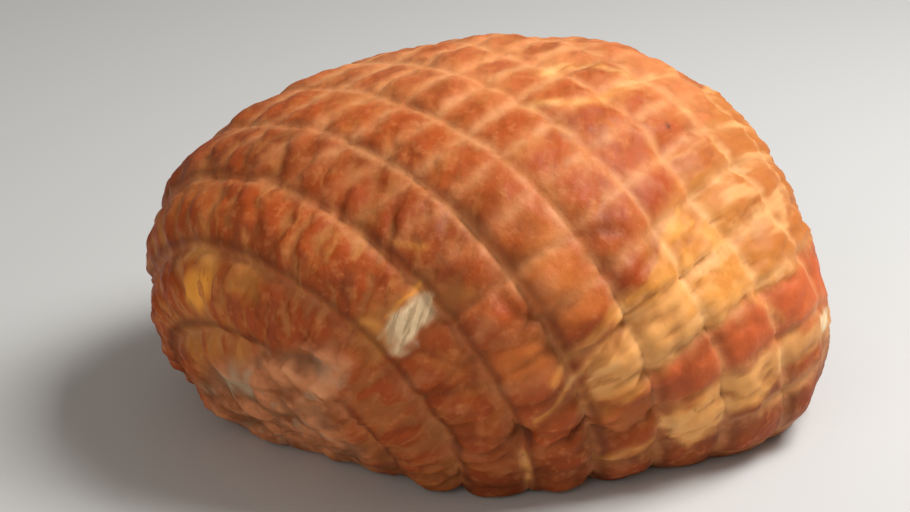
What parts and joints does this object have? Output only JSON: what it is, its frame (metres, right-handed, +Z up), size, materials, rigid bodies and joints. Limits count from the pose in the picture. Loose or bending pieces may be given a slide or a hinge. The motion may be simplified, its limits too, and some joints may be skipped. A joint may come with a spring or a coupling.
{
  "type": "boneless smoked ham",
  "caption": "Whole boneless smoked ham, rounded and uneven, with the ring and string marks of its cooking net pressed into lean and fat, lying on a flattened underside.",
  "frame": {"origin": "middle of the underside, on the surface that the ham rests on", "axes": "+X along the ham towards its fat end, +Y away from the side with the near gathered end, +Z up"},
  "size_m": [0.2408, 0.1894, 0.1235],
  "materials": {
    "smoked_meat": "satin"
  },
  "bodies": {
    "root": {"ham": "smoked_meat"}
  },
  "joints": []
}
